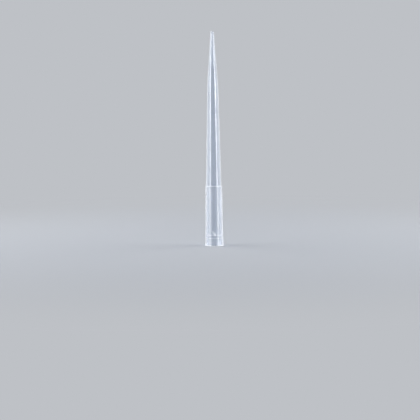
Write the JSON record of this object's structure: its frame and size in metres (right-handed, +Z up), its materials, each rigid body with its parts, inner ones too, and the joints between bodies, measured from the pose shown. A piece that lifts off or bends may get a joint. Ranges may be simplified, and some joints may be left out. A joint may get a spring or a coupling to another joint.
{
  "type": "pipette tip",
  "caption": "Long slender hollow dispensing tip: a fine orifice at the end of a tapered barrel, and a wider flared collar that pushes onto a pipette's nozzle.",
  "frame": {"origin": "centre of the mouth rim, on the surface that the tip stands on", "axes": "+Z up the tip's own axis, from the wide mouth to the fine orifice; the gate mark is on the -Y side"},
  "size_m": [0.0088, 0.0088, 0.102],
  "materials": {
    "natural_polypropylene": "satin"
  },
  "bodies": {
    "root": {"pipette_tip": "natural_polypropylene"}
  },
  "joints": []
}
